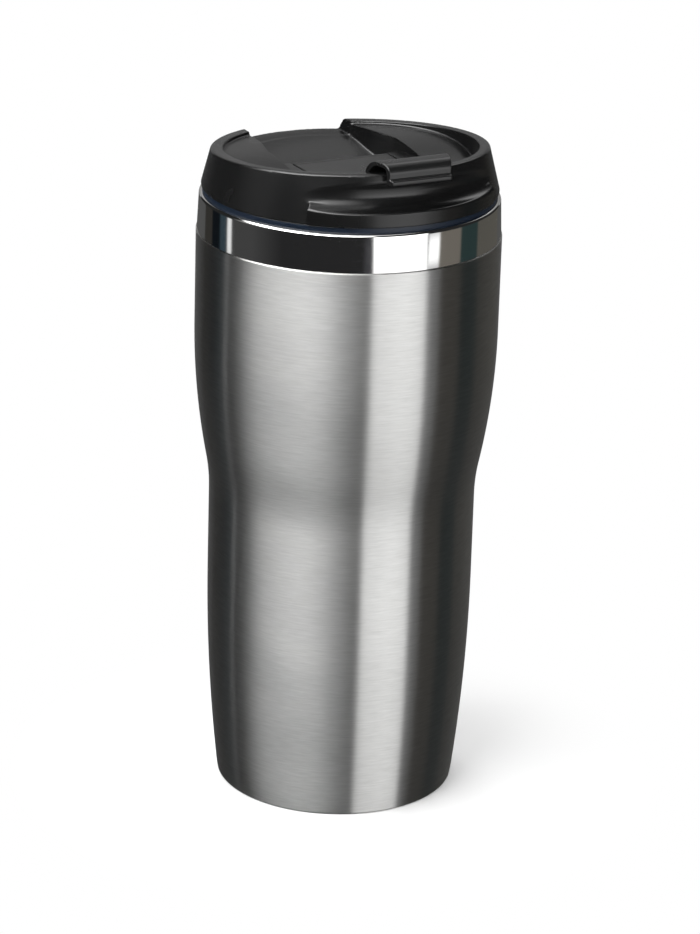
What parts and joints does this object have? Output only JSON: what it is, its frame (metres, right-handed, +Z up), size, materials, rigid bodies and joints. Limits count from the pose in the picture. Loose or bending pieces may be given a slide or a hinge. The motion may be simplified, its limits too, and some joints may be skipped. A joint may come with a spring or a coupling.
{
  "type": "insulated travel mug",
  "caption": "Double-walled steel travel mug with a waisted body, polished collar and a screw-on black lid with a hinged stopper flap.",
  "frame": {"origin": "middle of the foot, on the table", "axes": "+Z up along the mug's axis; the drinking side, with the flap's tab, faces -Y; the flap's hinge runs along X"},
  "size_m": [0.0844, 0.0844, 0.1915],
  "materials": {
    "shell_steel": "brushed round the body",
    "base_steel": "pressed, satin",
    "polished_steel": "mirror polished steel",
    "liner_steel": "electropolished satin",
    "seal_silicone": "smooth silicone",
    "lid_plastic": "fine matte moulding",
    "plug_plastic": "fine matte moulding",
    "flap_plastic": "fine matte moulding",
    "stopper_silicone": "smooth silicone",
    "pin_steel": "drawn wire"
  },
  "bodies": {
    "mug": {"outer_shell": "shell_steel", "base_plate": "base_steel", "polished_collar": "polished_steel", "inner_liner": "liner_steel"},
    "seal": {"lid_seal": "seal_silicone"},
    "lid": {"lid_cover": "lid_plastic", "lid_plug": "plug_plastic", "hinge_pin": "pin_steel"},
    "flap_unit": {"flap": "flap_plastic", "flap_stopper": "stopper_silicone", "vent_button": "stopper_silicone"}
  },
  "joints": [
    {"name": "lid_lift", "type": "slide", "parent": "mug", "child": "seal", "axis": [0, 0, 1], "range_m": [0, 0.0136]},
    {"name": "lid_turn", "type": "hinge", "parent": "seal", "child": "lid", "pos_m": [0, 0, 0.1744], "axis": [0, 0, 1], "range_deg": [0, 540]},
    {"name": "flap_hinge", "type": "hinge", "parent": "lid", "child": "flap_unit", "pos_m": [0, 0.0062, 0.178], "axis": [-1, 0, 0], "range_deg": [0, 170]}
  ],
  "couplings": [
    {"joint": "lid_lift", "follows": "lid_turn", "m_per_rad": 0.0014324}
  ]
}
